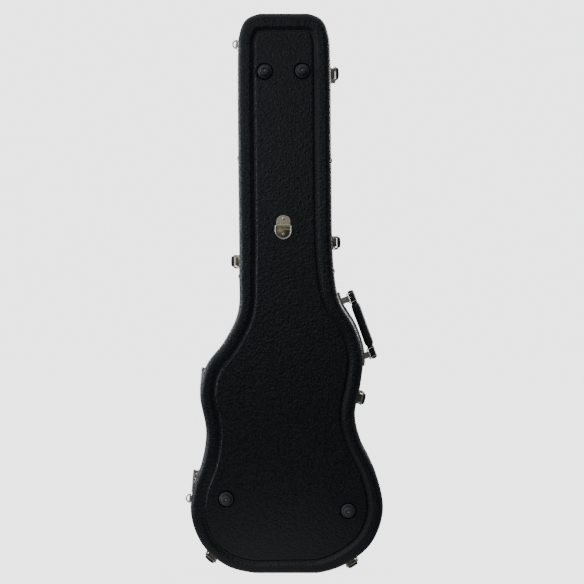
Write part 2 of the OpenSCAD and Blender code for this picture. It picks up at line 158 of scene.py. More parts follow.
def bevelled(o, width, angle=30):
    """A small rolled edge on a piece that keeps its mesh."""
    b = o.modifiers.new("edge", "BEVEL")
    b.width, b.segments, b.limit_method, b.angle_limit = width * MM, 2, "ANGLE", math.radians(angle)
    b.use_clamp_overlap, b.harden_normals = True, False
    w = o.modifiers.new("normals", "WEIGHTED_NORMAL")
    w.keep_sharp = False
    return o


def rings_to_faces(bm, rings, cap_first=False, cap_last=False):
    """Skins a list of rings, each a list of points in metres; returns the vertex rings."""
    vs = [[bm.verts.new(p) for p in r] for r in rings]
    for a, b in zip(vs, vs[1:]):
        n = len(a)
        for i in range(n):
            j = (i + 1) % n
            bm.faces.new((a[i], a[j], b[j], b[i]))
    if cap_first:
        bm.faces.new(vs[0])
    if cap_last:
        bm.faces.new(list(reversed(vs[-1])))
    return vs


def revolve(profile, n, place):
    """A turned form round local z from (radius, height) points in mm, closed at both ends."""
    bm = bmesh.new()
    rings = [[place @ (Vector((x, y, h)) * MM) for x, y in circle(r, n)] for r, h in profile]
    rings_to_faces(bm, rings, cap_first=True, cap_last=True)
    return bm


def tube(bm, pts, r, n=14, closed=False):
    """A wire of radius r, in mm, along points in mm."""
    P = [Vector(p) * MM for p in pts]
    m = len(P)
    up, rings = None, []
    for i in range(m):
        a = P[i - 1] if (i or closed) else P[i]
        b = P[(i + 1) % m] if (i < m - 1 or closed) else P[i]
        t = (b - a).normalized()
        if up is None:
            up = t.orthogonal().normalized()
        up = (up - t * up.dot(t)).normalized()
        v = t.cross(up)
        rings.append([P[i] + (up * x + v * y) * r * MM for x, y in circle(1, n)])
    if closed:
        vs = rings_to_faces(bm, rings)
        best = min(range(n), key=lambda k: (vs[0][k].co - vs[-1][0].co).length)
        for k in range(n):
            j = (k + 1) % n
            bm.faces.new((vs[-1][k], vs[-1][j], vs[0][(j + best) % n], vs[0][(k + best) % n]))
    else:
        rings_to_faces(bm, rings, cap_first=True, cap_last=True)


# ---------------------------------------------------------------- materials
class Nodes:
    """A short way to write a node material in object coordinates, which are metres."""

    def __init__(self, name):
        self.mat = bpy.data.materials.new(name)
        self.mat.use_nodes = True
        self.t = self.mat.node_tree
        self.b = self.t.nodes["Principled BSDF"]
        self.co = self.t.nodes.new("ShaderNodeTexCoord").outputs["Object"]

    def new(self, kind, **values):
        n = self.t.nodes.new(kind)
        for k, v in values.items():
            if hasattr(n, k):
                setattr(n, k, v)
            else:
                n.inputs[k.replace("_", " ")].default_value = v
        return n

    def link(self, a, b):
        self.t.links.new(a, b)

    def noise(self, scale, detail=2.0, rough=0.5, stretch=None):
        n = self.new("ShaderNodeTexNoise", Scale=scale, Detail=detail, Roughness=rough)
        co = self.co
        if stretch:
            m = self.new("ShaderNodeMapping")
            m.inputs["Scale"].default_value = stretch
            self.link(co, m.inputs["Vector"])
            co = m.outputs["Vector"]
        self.link(co, n.inputs["Vector"])
        return n.outputs["Fac"]

    def cells(self, scale, smooth):
        n = self.new("ShaderNodeTexVoronoi", feature="SMOOTH_F1", Scale=scale)
        n.inputs["Smoothness"].default_value = smooth
        self.link(self.co, n.inputs["Vector"])
        return n.outputs["Distance"]

    def ramp(self, fac, stops):
        r = self.new("ShaderNodeValToRGB")
        e = r.color_ramp.elements
        while len(e) < len(stops):
            e.new(0.5)
        for el, (pos, c) in zip(e, stops):
            el.position, el.color = pos, (*c, 1)
        self.link(fac, r.inputs["Fac"])
        return r.outputs["Color"]

    def grey(self, fac, a, b, lo=0.0, hi=1.0):
        """Maps lo..hi of a factor to a..b."""
        m = self.new("ShaderNodeMapRange")
        for k, v in (("From Min", lo), ("From Max", hi), ("To Min", a), ("To Max", b)):
            m.inputs[k].default_value = v
        self.link(fac, m.inputs["Value"])
        return m.outputs["Result"]

    def math(self, op, a, b):
        m = self.new("ShaderNodeMath", operation=op)
        for v, s in ((a, m.inputs[0]), (b, m.inputs[1])):
            if isinstance(v, (int, float)):
                s.default_value = v
            else:
                self.link(v, s)
        return m.outputs[0]

    def attribute(self, name):
        return self.new("ShaderNodeAttribute", attribute_name=name).outputs["Fac"]

    def mix(self, fac, a, b, mode="MIX"):
        m = self.new("ShaderNodeMix", data_type="RGBA", blend_type=mode)
        for v, i in ((fac, 0), (a, 6), (b, 7)):
            if isinstance(v, (int, float)):
                m.inputs[i].default_value = v
            elif isinstance(v, tuple):
                m.inputs[i].default_value = (*v, 1)
            else:
                self.link(v, m.inputs[i])
        return m.outputs[2]

    def bump(self, height, distance, strength=1.0, normal=None):
        m = self.new("ShaderNodeBump", Strength=strength, Distance=distance)
        self.link(height, m.inputs["Height"])
        if normal is not None:
            self.link(normal, m.inputs["Normal"])
        return m.outputs["Normal"]

    def out(self, color=None, rough=None, normal=None, **plain):
        for v, k in ((color, "Base Color"), (rough, "Roughness"), (normal, "Normal")):
            if v is None:
                continue
            if isinstance(v, (int, float)):
                self.b.inputs[k].default_value = v
            elif isinstance(v, tuple):
                self.b.inputs[k].default_value = (*v, 1)
            else:
                self.link(v, self.b.inputs[k])
        for k, v in plain.items():
            self.b.inputs[k.replace("_", " ")].default_value = v
        return self.mat


def shell_plastic():
    """Pebbled black plastic, paler where the shell's vertex attribute is high: partly scuffs from rubbing,
    partly a painted highlight on its edges and shoulders.
    """
    m = Nodes("shell_plastic")
    pebble = m.cells(400, 0.5)
    coarse = m.noise(240, 2, 0.55)
    broad = m.noise(5, 2, 0.5)
    sunk = m.noise(30, 2, 0.5)
    height = m.math("ADD", m.math("MULTIPLY", pebble, -0.35), m.math("MULTIPLY", coarse, 1.0))
    tone = m.ramp(broad, [(0.3, (0.0020, 0.0026, 0.0038)), (0.7, (0.0028, 0.0035, 0.0052))])
    speck = m.grey(m.noise(330, 3, 0.75), 0.3, 2.2, 0.36, 0.66)
    color = m.mix(1.0, tone, speck, "MULTIPLY")
    # the pale bluish colour mixed in here is partly scuffs, partly a painted highlight
    wear_and_highlight = m.grey(m.math("MULTIPLY", m.attribute("wear_and_highlight"), m.noise(60, 4, 0.7)), 0.0, 1.0, 0.22, 0.8)
    color = m.mix(wear_and_highlight, color, (0.030, 0.034, 0.040))
    rough = m.math("ADD", m.grey(m.noise(300, 2, 0.5), 0.24, 0.44, 0.38, 0.62), m.grey(sunk, -0.03, 0.03))
    normal = m.bump(height, 0.0010, 0.9, m.bump(sunk, 0.0006, 0.15))
    return m.out(color, rough, normal, Specular_IOR_Level=0.5)


def metal(name, tint, rough=(0.18, 0.34), brushed=False, dark=0.8):
    """Plated metal with smudges; dark is how much darker its dull patches are."""
    m = Nodes(name)
    smudge = m.noise(46, 3, 0.55)
    fine = m.noise(1500, 2, 0.5, (1, 12, 1) if brushed else None)
    tone = m.mix(m.grey(m.noise(70, 3, 0.6), 0, 1, 0.42, 0.72), tint, tuple(dark * c for c in tint))
    r = m.math("ADD", m.grey(smudge, rough[0], rough[1], 0.3, 0.7), m.grey(fine, -0.04, 0.04))
    return m.out(tone, r, m.bump(fine, 0.00003, 0.3, m.bump(smudge, 0.0003, 0.15)), Metallic=1.0)


def moulded(name, tint, rough, grain=1300, depth=0.00012):
    """Smooth moulded plastic with a fine grain, depth metres deep."""
    m = Nodes(name)
    g = m.noise(grain, 2, 0.5)
    tone = m.mix(m.grey(m.noise(160, 4, 0.7), 0, 1, 0.35, 0.7), tint, tuple(1.9 * c for c in tint))
    dull = m.grey(m.noise(120, 4, 0.6), rough[0], rough[1], 0.3, 0.7)
    return m.out(tone, dull, m.bump(g, depth, 0.6), Specular_IOR_Level=0.5)


def plush(name, tint):
    """Short pile with lighter tips and slow changes in its lay."""
    m = Nodes(name)
    pile = m.noise(1100, 4, 0.75)
    lay = m.noise(26, 3, 0.6)
    tone = m.mix(m.grey(lay, 0, 1, 0.35, 0.65), tint, tuple(2.4 * c for c in tint))
    tone = m.mix(m.grey(pile, 0, 0.6, 0.45, 0.8), tone, tuple(4.0 * c for c in tint))
    h = m.math("ADD", pile, m.math("MULTIPLY", lay, 0.6))
    return m.out(tone, 0.95, m.bump(h, 0.0015, 0.8), Sheen_Weight=1.0, Sheen_Roughness=0.45,
                 Specular_IOR_Level=0.1)


def woven(name, tint):
    """Ribbon, with its threads as two crossed sets of bands."""
    m = Nodes(name)

    def threads(direction, scale):
        w = m.new("ShaderNodeTexWave", wave_type="BANDS", bands_direction=direction, Scale=scale,
                  Distortion=0.6)
        m.link(m.co, w.inputs["Vector"])
        return w.outputs["Fac"]

    h = m.math("MULTIPLY", threads("Z", 420), threads("X", 260))
    tone = m.mix(h, tuple(0.5 * c for c in tint), tint)
    return m.out(tone, 0.8, m.bump(h, 0.0006, 0.8), Sheen_Weight=0.3)


SHELL = shell_plastic()
NICKEL = metal("nickel_plate", (0.74, 0.70, 0.61))
BRIGHT = metal("bright_wire", (0.82, 0.80, 0.74), (0.12, 0.24))
BRASSY = metal("warm_nickel", (0.70, 0.62, 0.44), (0.2, 0.32))
# brass painted darker as painted shade, on the strap bracket's lower plate and on the stop blocks under the
# levers
SHADED_BRASS = metal("brass_painted_shade", (0.33, 0.26, 0.17), (0.3, 0.42), dark=0.7)
STEEL = metal("plain_steel", (0.62, 0.62, 0.62), (0.28, 0.42), brushed=True)
RIM = metal("aluminium_edge", (0.80, 0.81, 0.82), (0.25, 0.38), brushed=True, dark=0.85)
FOOT = moulded("foot_plastic", (0.034, 0.035, 0.037), (0.42, 0.56), 900, 0.0002)
GRIP = moulded("grip_plastic", (0.012, 0.0125, 0.014), (0.26, 0.4), 700, 0.0002)
BLACK = moulded("satin_black", (0.014, 0.014, 0.015), (0.22, 0.36))
PLUSH = plush("black_plush", (0.014, 0.014, 0.0165))
BOXPLUSH = plush("box_plush", (0.018, 0.018, 0.021))
RIBBON = woven("ribbon", (0.035, 0.035, 0.04))

# ---------------------------------------------------------------- shells
# The channel's section, from the panel out to the border: offset from its line, and depth
CHANNEL = [(7.6, 0), (6.6, 0), (6.0, 0.06), (5.4, 0.24), (4.8, 0.62), (4.2, 1.2), (3.5, 2.0), (2.9, 2.6),
           (2.3, 3.0), (1.6, 3.2), (0.8, 3.25), (-0.2, 3.1), (-1.4, 2.7), (-2.8, 2.05), (-4.2, 1.35),
           (-5.4, 0.75), (-6.6, 0.3), (-7.6, 0.07), (-8.6, 0)]
# The dish under a foot, from its edge inward: radius and depth
DISH = [(17.4, 0), (16.6, 0), (16.1, 0.05), (15.6, 0.25), (14.9, 0.8), (14.3, 1.4), (13.9, 1.7),
        (13.5, 1.8), (11, 1.8)]
LOOP_SPAN = 40  # how many points apart a loop's two ends may be
# The panel's top corners: their stations, how many stations the easing reaches, and its passes
TOP_CORNERS, EASED_REACH, EASED_PASSES = (16.1, 18.9), 1.7, 34
EDGE_R = 12.0  # the shells' rolled edge
EDGE_STEPS = 14
WALL = 4.0


def ring(points, y):
    """Points x, z in mm as a ring in metres at depth y."""
    return [(p[0] * MM, y * MM, p[1] * MM) for p in points]


def unloop(points):
    """Collapses the small loops that a deep inset makes at a tight corner."""
    p, n, i = [tuple(q) for q in points], len(points), 0
    while i < n:
        for j in range(min(i + LOOP_SPAN, n - 2), i + 1, -1):
            a, b, c, d = (np.array(p[k]) for k in (i, i + 1, j, j + 1))
            m = np.array([b - a, c - d]).T
            if abs(np.linalg.det(m)) < 1e-12:
                continue
            t, u = np.linalg.solve(m, c - a)
            if 0 <= t <= 1 and 0 <= u <= 1:
                x = tuple(a + t * (b - a))
                for k in range(i + 1, j + 1):
                    p[k] = x
                i = j
                break
        i += 1
    return p


def eased(points):
    """Rounds the panel's two top corners, which a deep inset leaves sharp."""
    q, n = np.array(points, float), len(points)
    s = np.arange(n) / PER
    w = sum(np.clip(1 - ((s - c) / EASED_REACH) ** 2, 0, 1) for c in TOP_CORNERS)
    w = np.minimum(w, 1)[:, None]
    for _ in range(EASED_PASSES):
        q += 0.5 * w * (0.5 * (np.roll(q, 1, 0) + np.roll(q, -1, 0)) - q)
    return [tuple(p) for p in q]


def shell(name, node, body, face, direction, depth, dishes=()):
    """A half of the case: panel, channel, border, rolled edge, wall, lip and inside.

    Direction is 1 where the shell's depth runs towards the lid, and dishes are the feet's places.
    """
    bm = bmesh.new()
    layer = bm.verts.layers.float.new("wear_and_highlight")
    rings, wear_and_highlight = [], []

    def add(points, u, worn_and_lit):
        rings.append(ring(points, face + direction * u))
        wear_and_highlight.append(worn_and_lit)
    # the third value is a paler weight: partly scuffs from rubbing, partly a painted highlight along the
    # channel's shoulders, the rolled edge, the lip and the dishes' rims
    for c, u in CHANNEL:
        pts = inset(c, True)
        add(eased(unloop(pts) if c > 0 else pts), u, 0.6 if 4.6 < c < 7 else 0.25 if c < -6 else 0.05)
    add(inset(EDGE_R + 1.2), 0, 0.15)
    # on the rolled edge the paler weight peaks halfway round, a painted highlight along the edge
    for k in range(EDGE_STEPS + 1):
        a = math.radians(90 * k / EDGE_STEPS)
        add(inset(EDGE_R * (1 - math.sin(a))), EDGE_R * (1 - math.cos(a)), 0.2 + 0.7 * math.sin(2 * a))
    for u in (16, 24, 36, depth - 8, depth - 4.6):
        add(inset(0), u, 0.1)
    add(inset(0.35), depth - 4.02, 0.4)
    for d, u in ((5.6, depth - 4.02), (WALL, depth - 4.2), (WALL, 18), (5.2, 11), (9.6, 6.4), (13.6, 5.3)):
        add(inset(d), u, 0)
    vs = rings_to_faces(bm, rings, cap_last=True)
    for r, w in zip(vs, wear_and_highlight):
        for v in r:
            v[layer] = w
    # the channel's inner rings have doubled points where unloop() collapsed a loop
    bmesh.ops.remove_doubles(bm, verts=[v for r in vs[:14] for v in r], dist=1e-6)
    first = [v for v in vs[0] if v.is_valid]
    edges = [e for v in first for e in v.link_edges if e.other_vert(v) in set(first)]
    edges = [e for e in set(edges) if len(e.link_faces) == 1]
    for x, z in dishes:
        loops = [ring(circle(r, 72, x, z), face + direction * u) for r, u in DISH]
        dish = rings_to_faces(bm, loops, cap_last=True)
        # the dish's upper rim gets a paler weight, a painted highlight, partly scuffs
        for v in dish[2] + dish[3]:
            v[layer] = 0.5
        edges += [e for e in {e for v in dish[0] for e in v.link_edges} if len(e.link_faces) == 1]
    bmesh.ops.triangle_fill(bm, edges=edges, use_beauty=True, normal=(0, -direction, 0))
    o = make(name, bm, SHELL, body, (node,), smooth=None)
    soften(o.data, 50)
    return o


def centre(node):
    """The middle of a CAD node's box, in metres."""
    lo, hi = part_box(node)
    return (lo + hi) / 2


FEET = ["foot_head_left", "foot_head_right", "foot_body_left", "foot_body_right"]
shell("shell_back", "back_shell", "case", BACK_Y, 1, PART_Y - BACK_Y,
      [(centre(n).x / MM, centre(n).z / MM) for n in FEET])
shell("shell_lid", "lid_shell", "lid", LID_Y, -1, LID_Y - PART_Y)


def band(name, node, body, section):
    """An extruded edge that follows the outline; section is a closed loop of (inset, y)."""
    bm = bmesh.new()
    rings = [ring(inset(d), y) for d, y in section]
    rings_to_faces(bm, rings + rings[:1])
    bmesh.ops.remove_doubles(bm, verts=bm.verts, dist=1e-7)
    return make(name, bm, RIM, body, (node,), smooth=40)


# a tongue stands on the back's edge and goes into the slot in the lid's
P = PART_Y
band("rim_back", "back_rim", "case", [
    (0.9, P - 4), (0.25, P - 3.8), (0, P - 3.3), (0, P - 1.0), (0.2, P - 0.55), (0.7, P - 0.32),
    (2.2, P - 0.3), (2.3, P + 1.1), (2.6, P + 1.4), (3.4, P + 1.4), (3.7, P + 1.1), (3.8, P - 0.3),
    (5.6, P - 0.35), (6, P - 0.8),
    (6, P - 3.6), (5.6, P - 4), (5.4, P - 4.6), (5.4, P - 12), (4.02, P - 12), (4.02, P - 4)])
band("rim_lid", "lid_rim", "lid", [
    (0.9, P + 4), (0.25, P + 3.8), (0, P + 3.3), (0, P + 1.0), (0.2, P + 0.55), (0.7, P + 0.32),
    (1.4, P + 0.3), (1.4, P + 1.9), (1.6, P + 2.0), (4.6, P + 2.0), (4.8, P + 1.9), (4.8, P + 0.3),
    (5.7, P + 0.35), (6, P + 0.8),
    (6, P + 3.6), (5.6, P + 4), (5.4, P + 4.6), (5.4, P + 12), (4.02, P + 12), (4.02, P + 4)])

# ---------------------------------------------------------------- feet
# Radius and height: the flange in the dish, the body, the tip, and the bore for the screw
FOOT_PROFILE = [(13, -1.8), (13, 0.2), (12.85, 0.7), (12.3, 1.25), (11.3, 1.6), (10.7, 2.3), (10.4, 4.2),
                (10.2, 6), (9.95, 8), (9.55, 10), (9.2, 11.2), (8.8, 12.1), (8.2, 12.8), (7.4, 13.35),
                (6.3, 13.75), (5.0, 13.97), (3.6, 14), (3.1, 13.9), (2.75, 13.4), (2.7, 10.2)]
AWAY = Matrix.Rotation(math.radians(90), 4, "X")  # turns z to point out of the back


def screw(bm, r, top, centre, rot, dome=0.8, cross=0.9):
    """A pan head with a cross recess, in mm, standing at height top."""
    n = 32
    prof = [(r, -0.8), (r, 0.1)] + arc((25, 50, 70), r, dome, 0.1)
    m = Matrix.Translation(Vector(centre)) @ rot @ Matrix.Translation((0, 0, top * MM))
    rings = [[m @ (Vector((x, y, h)) * MM) for x, y in circle(a, n)] for a, h in prof]
    vs = rings_to_faces(bm, rings)
    # the recess: a star-shaped hole made of four arms, sunk in the middle
    inner = []
    for k in range(n):
        a = 2 * math.pi * k / n
        arm = r * (0.13 + 0.42 * abs(math.cos(2 * a)) ** 6)
        inner.append((arm, a))
    top_z = 0.1 + dome * 0.97

    def star(scale, z):
        return [bm.verts.new(m @ (Vector((scale * q * math.cos(a), scale * q * math.sin(a), z)) * MM))
                for q, a in inner]
    lip = star(1, top_z)
    low = star(0.75, top_z - cross)
    for a, b in ((vs[-1], lip), (lip, low)):
        for k in range(n):
            j = (k + 1) % n
            bm.faces.new((a[k], a[j], b[j], b[k]))
    bm.faces.new(list(reversed(low)))


screws = bmesh.new()
for name in FEET:
    c = centre(name)
    c = Vector((c.x, BACK_Y * MM, c.z))
    foot = revolve(FOOT_PROFILE, 64, Matrix.Translation(c) @ AWAY)
    make("domed_" + name, foot, FOOT, "case", (name,), smooth=50)
    screw(screws, 2.4, 10.9, c, AWAY @ Matrix.Rotation(0.6 + 9 * c.x, 4, "Z"))
make("foot_screw_heads", screws, STEEL, "case", ("foot_screws",), smooth=50)

# ---------------------------------------------------------------- latches
def rounded(pts, r, n=5, closed=True):
    """Rounds the corners of a path of points in mm with radius r."""
    out, m = [], len(pts)
    P = [Vector(p) for p in pts]
    for i in range(m):
        if not closed and i in (0, m - 1):
            out.append(tuple(P[i]))
            continue
        a, b, c = P[i - 1], P[i], P[(i + 1) % m]
        u, v = (a - b).normalized(), (c - b).normalized()
        half = u.angle(v) / 2
        cut = min(r / math.tan(half), 0.49 * (a - b).length, 0.49 * (c - b).length)
        start, end = b + u * cut, b + v * cut
        for k in range(n + 1):
            t = k / n
            out.append(tuple(start * (1 - t) ** 2 + b * 2 * t * (1 - t) + end * t ** 2))
    return out


def slab_from(bm, outline, z0, z1, soft, m=None):
    """A plate with the given outline (x, y in mm) between two heights, its edges rolled by soft."""
    m = m or Matrix.Identity(4)
    n = len(outline)
    cx, cy = sum(p[0] for p in outline) / n, sum(p[1] for p in outline) / n

    def loop(d, z):
        r = []
        for x, y in outline:
            f = max(0.0, 1 - d / math.hypot(x - cx, y - cy))
            r.append(m @ (Vector((cx + (x - cx) * f, cy + (y - cy) * f, z)) * MM))
        return r
    steps = [(soft, z0), (0.3 * soft, z0 + 0.3 * soft), (0, z0 + soft),
             (0, z1 - soft), (0.3 * soft, z1 - 0.3 * soft), (soft, z1)]
    rings_to_faces(bm, [loop(d, z) for d, z in steps], cap_first=True, cap_last=True)


def oblong(x0, x1, y0, y1, r, n=5):
    """A rectangle's outline with round corners."""
    return [p[:2] for p in rounded([(x0, y0, 0), (x1, y0, 0), (x1, y1, 0), (x0, y1, 0)], r, n)]


# The latches' stations, by their heights: four on the handle side, two on the hinge side
LATCH_S = [side(943), side(622), side(328), side(21.5), side(586, False), side(31, False)]
WIRE_R = 1.1
# On a latch x runs along the wall, y towards the lid and z outward
LOOP_BAR_Y, LOOP_Z = -20.5, 4.8
GRIP_SECTION = [(9.9, 11.05), (10.3, 12.0), (10.15, 13.3), (9.5, 14.6), (8.0, 15.5), (5.0, 15.95), (0, 16.1),
                (-5.0, 15.95), (-8.0, 15.5), (-9.5, 14.6), (-10.15, 13.3), (-10.3, 12.0), (-9.9, 11.05)]
GRIP_FOOT_Z = 11.05


def latch_grip():
    """The moulded cap on a lever, with soft ends and three shallow ribs."""
    rings = []
    for i in range(19):
        t = i / 18
        y = -42.4 + 20.8 * t
        near_end = max(0, 1 - min(t, 1 - t) / 0.10) ** 2
        narrow, low = 1 - 0.10 * near_end, 1 - 0.45 * near_end
        rib = 0.32 * max(0.0, math.cos((t - 0.5) * 2 * math.pi * 3.2)) if 0.2 < t < 0.8 else 0.0
        section = [(x * narrow, GRIP_FOOT_Z + (z - GRIP_FOOT_Z) * low + (rib if z > 14 else 0))
                   for x, z in GRIP_SECTION]
        rings.append([Vector((x, y, z)) * MM for x, z in section])
    bm = bmesh.new()
    rings_to_faces(bm, rings, cap_first=True, cap_last=True)
    return bm


def latch(k, place):
    """The detailed pieces of latch k; its base, lever, pivot and catch keep their CAD shape."""
    def put(name, bm, mat, body, nodes=(), smooth=50):
        bm.transform(place)
        make(f"{name}_{k}", bm, mat, body, nodes, smooth)
    # the wire loop, bent round at its corners, and its bar in the lever's barrel
    bm = bmesh.new()
    loop = [(-6.8, LOOP_BAR_Y, LOOP_Z), (-6.8, 9, LOOP_Z), (6.8, 9, LOOP_Z), (6.8, LOOP_BAR_Y, LOOP_Z)]
    tube(bm, rounded(loop, 2.6, 6), WIRE_R, 14, closed=True)
    tube(bm, [(-10.6, LOOP_BAR_Y, LOOP_Z), (10.6, LOOP_BAR_Y, LOOP_Z)], WIRE_R, 14)
    put("wire_loop", bm, BRIGHT, f"loop_{k}", (f"latch_loop_{k}",), 35)
    # the base's pressed rim
    bm = bmesh.new()
    slab_from(bm, oblong(-12.4, 12.4, -35.5, -7.0, 2.0), 1.0, 2.3, 0.4)
    put("base_rim", bm, NICKEL, "case")
    # the stop block that the closed lever rests on, in darker brass: painted shade under the lever
    bm = bmesh.new()
    slab_from(bm, oblong(-8.2, 8.2, -34.2, -27.6, 1.2), 1.0, 8.9, 0.7)
    put("stop_block", bm, SHADED_BRASS, "case")
    # the lever's rolled barrel round the loop's bar
    bm = bmesh.new()
    barrel = arc(range(0, 360, 20), 2.2, 2.2)
    for x0, x1 in ((-5.4, -0.6), (0.6, 5.4)):
        rings = [[Vector((x, LOOP_BAR_Y + a * f, LOOP_Z + b * f)) * MM for a, b in barrel]
                 for x, f in ((x0, 0.85), (x0 + 0.3, 1), (x1 - 0.3, 1), (x1, 0.85))]
        rings_to_faces(bm, rings, cap_first=True, cap_last=True)
        slab_from(bm, oblong(x0, x1, -26.5, -20.9, 0.4, 3), 6.6, 7.6, 0.2)
    put("lever_barrel", bm, BRASSY, f"lever_{k}")
    # the lever's folded side flanges, rolled over at their lower edge
    bm = bmesh.new()
    for x0, x1 in ((-11.9, -10.7), (10.7, 11.9)):
        slab_from(bm, oblong(x0, x1, -36.5, -24.8, 0.5, 3), 6.2, 10.9, 0.3)
    put("lever_flange", bm, BRIGHT, f"lever_{k}")
    put("lever_grip", latch_grip(), BLACK, f"lever_{k}", (f"latch_grip_{k}",), 55)


for k, s in enumerate(LATCH_S, 1):
    latch(k, wall_frame(s))


# ---------------------------------------------------------------- strap bracket
STRAP_BAR_Z = 652.0  # the height of the ring's bar
STRAP_KNUCKLE = [
    (4.6, 0.8), (3.6, 1.0), (3.2, 1.6), (3.0, 3.0), (2.5, 4.6), (1.5, 5.7), (0, 6.1), (-1.5, 5.7),
    (-2.5, 4.6), (-3.0, 3.0), (-3.2, 1.6), (-3.8, 1.1), (-5.2, 1.0),
    (-5.2, 0.2), (-3.5, 0.2), (-2.4, 0.9), (-2.0, 3.0), (-1.5, 4.4), (0, 5.0), (1.5, 4.4), (2.0, 3.0),
    (2.4, 0.9), (3.0, 0.2), (4.6, 0.2)]


def strap():
    """The bracket in the middle of the back, and its D ring."""
    lo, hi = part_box("strap_bracket")
    cx = (lo.x + hi.x) / 2 / MM
    # here x runs right, y up and z out of the back
    m = Matrix.Translation((cx * MM, BACK_Y * MM, STRAP_BAR_Z * MM)) @ AWAY

    def along(section, xs):
        return [[m @ (Vector((x, y, z)) * MM) for y, z in section] for x in xs]
    bm = bmesh.new()
    slab_from(bm, arc(range(0, 181, 9), 13, 11.2, 8.5) + [(-13, 2.2), (13, 2.2)], 0.15, 1.35, 0.25, m)
    # the lower plate is the same sheet as the upper one, painted darker as shade
    lower = bmesh.new()
    low = arc(range(180, 361, 9), 12.6, 12.6, -11.5) + [(12.6, -3.4), (-12.6, -3.4)]
    slab_from(lower, low, 0.15, 1.35, 0.25, m)
    make("strap_plate_lower", lower, SHADED_BRASS, "case", (), smooth=40)
    # the knuckle: one sheet wrapped over the ring's bar
    knuckle = bmesh.new()
    rings = along(STRAP_KNUCKLE, (-12.4, -12.0, -4, 4, 12.0, 12.4))
    rings_to_faces(knuckle, rings, cap_first=True, cap_last=True)
    make("strap_knuckle", knuckle, BRASSY, "case", (), smooth=40)
    # a pressed crease under the knuckle
    rings = along([(-5.4, 1.2), (-6.3, 2.1), (-7.4, 2.3), (-8.3, 1.2)], (-11.5, -10.6, 10.6, 11.5))
    rings_to_faces(bm, rings, cap_first=True, cap_last=True)
    o = make("strap_plate", bm, BRASSY, "case", ("strap_bracket",), smooth=40)
    bevelled(o, 0.2, angle=40)
    bm = bmesh.new()
    for y, turn in ((13, 0.5), (-16, 1.1)):
        place = (cx * MM, BACK_Y * MM, (STRAP_BAR_Z + y) * MM)
        screw(bm, 3.0, 1.7, place, AWAY @ Matrix.Rotation(turn, 4, "Z"), 0.9, 0.8)
    make("strap_screws", bm, BRIGHT, "case", (), smooth=50)
    # the ring: wire bent to a D
    bm = bmesh.new()
    path = [(-14.5, 0), (14.5, 0), (14.5, -10)] + arc(range(-6, -175, -6), 14.5, 14.7, -10) + [(-14.5, -10)]
    c = m @ Matrix.Translation((0, 0, 4.4 * MM))
    pts = [tuple((c @ (Vector((x, y, 0)) * MM)) / MM) for x, y in path]
    tube(bm, rounded(pts, 1.6, 4), 1.5, 16, closed=True)
    make("strap_d", bm, BRIGHT, "strap_d", ("strap_ring",))


strap()

# ---------------------------------------------------------------- handle
GRIP_L = 140  # the handle's grip, end to end
GRIP_REACH = 34.0  # from the rings' pivot to the grip's middle
LEG = 8.5  # from a ring's middle to each of its legs
# Height and radius of the grip's first half: end block, neck, padded body
GRIP_HALF = [(0.0, 3.6), (0.8, 5.0), (2.0, 5.9), (3.6, 6.3), (12, 6.35), (20, 6.3), (26.0, 6.2), (27.2, 6.0),
             (28.2, 7.0), (30, 8.3), (33, 8.8), (40, 8.95), (50, 8.85), (60, 8.75), (70, 8.7)]
GRIP_PROFILE = GRIP_HALF + [(GRIP_L - h, r) for h, r in reversed(GRIP_HALF[:-1])]


def grip_bow(h):
    """How far the grip bends outward at height h."""
    return 0.6 * 1.2 * (1 - ((h - 70) / 70) ** 2)


def handle():
    """The wire rings and the grip, folded towards the lid; z runs along the grip."""
    tilt, folded = math.radians(20), math.radians(72)
    pivot = Vector((137.6, PART_Y - 24, 461.5))
    m = Matrix.Translation(pivot * MM) @ Matrix.Rotation(-tilt, 4, "Y") @ Matrix.Rotation(folded, 4, "Z")
    for end, z in (("upper", 56.5), ("lower", -56.5)):
        bm = bmesh.new()
        wire = [(GRIP_REACH + 3, 0, z + LEG), (0, 0, z + LEG), (0, 0, z - LEG), (GRIP_REACH + 3, 0, z - LEG)]
        tube(bm, rounded(wire, 2.2, 6, closed=False), 1.1, 14)
        for leg in (z - LEG, z + LEG):
            # a sleeve on the leg, and a turn of wire round the grip
            tube(bm, [(x, 0, leg) for x in (2.4, 3.2, GRIP_REACH - 6.0, GRIP_REACH - 5.2)], 1.45, 12)
            turn = [(GRIP_REACH + x, y, leg) for x, y in arc(range(0, 360, 15), 6.75, 6.75)]
            tube(bm, turn, 0.75, 8, closed=True)
        bm.transform(m)
        node = "handle_ring_" + end
        make(node + "_wire", bm, BRIGHT, "handle", (node,))
    # the grip: an oval padded body between two end blocks
    rings = []
    for h, r in GRIP_PROFILE:
        padded = 28 < h < 112
        power = 2.2 if padded else 2.6
        loop = []
        for ca, sa in circle(1, 40):
            q = (abs(ca) ** power + abs(sa) ** power) ** (-1 / power)
            wave = 0.35 * math.cos((h - 70) * 2 * math.pi / 21) * max(0, -ca) if padded else 0
            x = GRIP_REACH + grip_bow(h) + (r + wave) * q * ca
            loop.append(Vector((x, r * 0.97 * q * sa, h - 70)) * MM)
        rings.append(loop)
    bm = bmesh.new()
    rings_to_faces(bm, rings, cap_first=True, cap_last=True)
    bm.transform(m)
    make("handle_grip_body", bm, GRIP, "handle", ("handle_grip",), smooth=60)
    # the moulding seam, a thin raised line on the two flat sides
    bm = bmesh.new()
    for sgn in (-1, 1):
        line = []
        for h in range(30, 111, 4):
            r = np.interp(h, *zip(*GRIP_PROFILE))
            line.append((GRIP_REACH + grip_bow(h), sgn * (r * 0.97 + 0.02), h - 70))
        tube(bm, line, 0.28, 6)
    bm.transform(m)
    make("handle_grip_seam", bm, GRIP, "handle")


handle()

